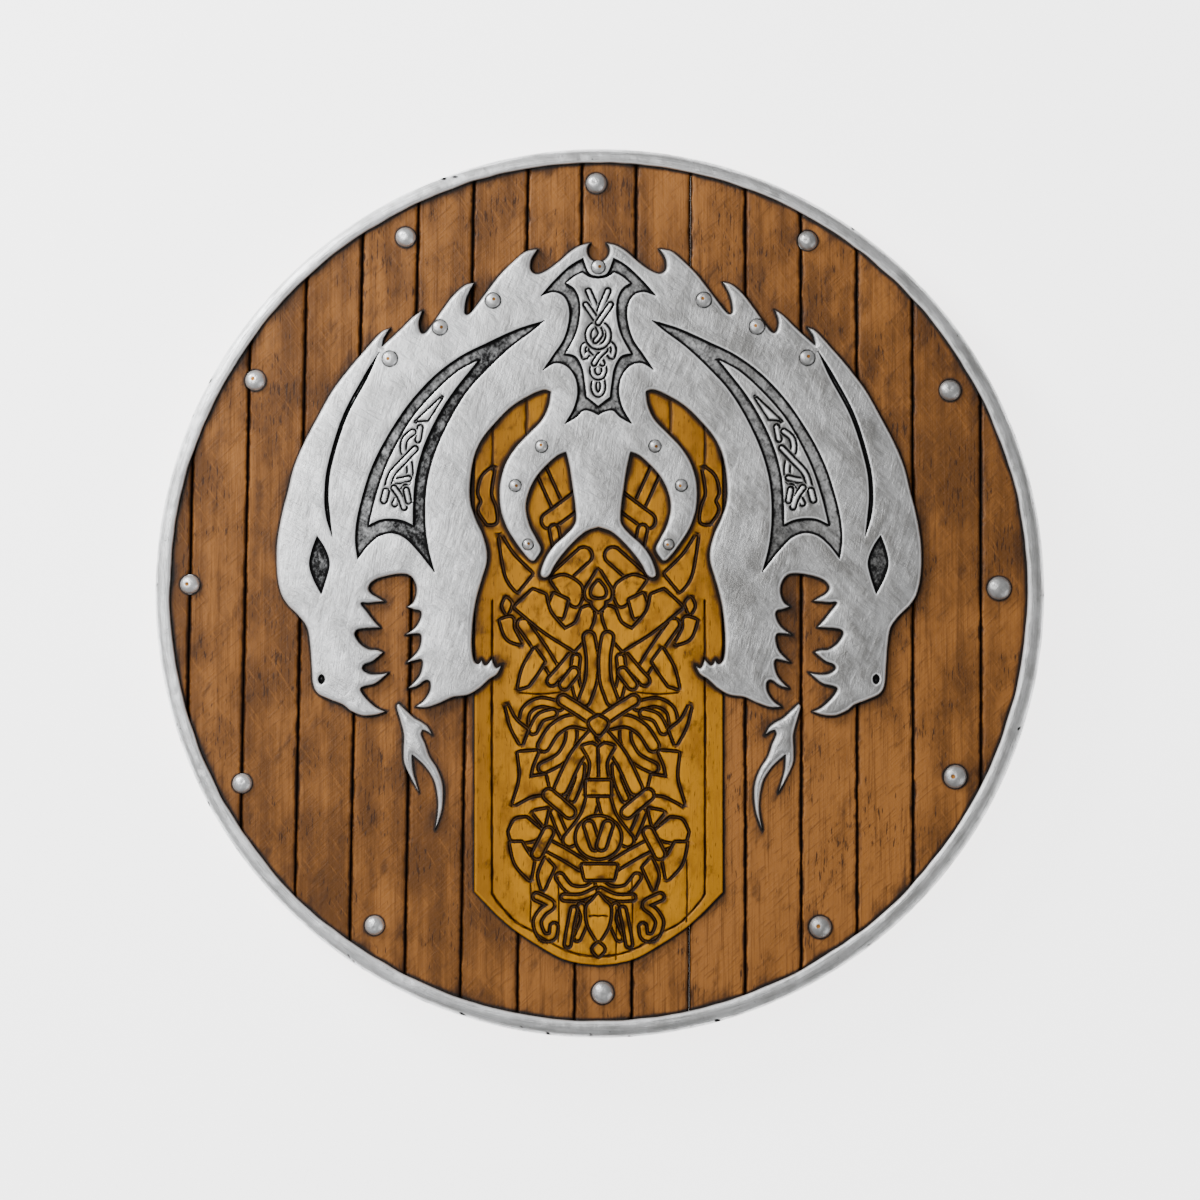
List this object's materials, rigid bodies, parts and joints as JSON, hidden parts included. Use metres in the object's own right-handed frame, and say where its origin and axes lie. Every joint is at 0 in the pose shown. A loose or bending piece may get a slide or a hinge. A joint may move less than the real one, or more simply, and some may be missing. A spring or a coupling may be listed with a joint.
{
  "type": "round wooden shield",
  "caption": "Round plank shield with a rounded silver rim, dome rivets, a plate of mirrored dragon heads over a gilded interlace panel, and leather straps between battens behind.",
  "frame": {"origin": "Middle of the shield, on the surface that it lies on: the undersides of the two battens.", "axes": "+Z is out of the face, towards whoever faces the shield; +Y is up along the boards, towards the notch of the dragon plate; +X is to the right, seen from the front."},
  "size_m": [0.612, 0.612, 0.043],
  "materials": {
    "boards": "stained pine, satin, streaky grain",
    "battens": "plain pine, matt",
    "gilding": "carved wood painted dull old gold with dark grooves",
    "plate": "cast, worn silver, brushed by hand, dark wash in the sunk parts",
    "rim": "worn silver, streaked and nicked",
    "rivets": "worn silver, satin domes",
    "leather": "brown, satin, a little creased"
  },
  "bodies": {
    "root": {"board_01": "boards", "board_02": "boards", "board_03": "boards", "board_04": "boards", "board_05": "boards", "board_06": "boards", "board_07": "boards", "board_08": "boards", "board_09": "boards", "board_10": "boards", "board_11": "boards", "board_12": "boards", "board_13": "boards", "board_14": "boards", "board_15": "boards", "board_16": "boards", "rim": "rim", "rim_rivet_01": "rivets", "rim_rivet_02": "rivets", "rim_rivet_03": "rivets", "rim_rivet_04": "rivets", "rim_rivet_05": "rivets", "rim_rivet_06": "rivets", "rim_rivet_07": "rivets", "rim_rivet_08": "rivets", "rim_rivet_09": "rivets", "rim_rivet_10": "rivets", "rim_rivet_11": "rivets", "rim_rivet_12": "rivets", "carved_panel": "gilding", "dragon_plate": "plate", "plate_stud_01": "rivets", "plate_stud_02": "rivets", "plate_stud_03": "rivets", "plate_stud_04": "rivets", "plate_stud_05": "rivets", "plate_stud_06": "rivets", "plate_stud_07": "rivets", "plate_stud_08": "rivets", "plate_stud_09": "rivets", "plate_stud_10": "rivets", "plate_stud_11": "rivets", "plate_stud_12": "rivets", "plate_stud_13": "rivets", "flame_left": "plate", "flame_right": "plate", "batten_top": "battens", "batten_foot": "battens", "hand_grip": "leather", "arm_strap": "leather", "hand_grip_top_stud": "rivets", "hand_grip_foot_stud": "rivets", "arm_strap_top_stud": "rivets", "arm_strap_foot_stud": "rivets"}
  },
  "joints": []
}
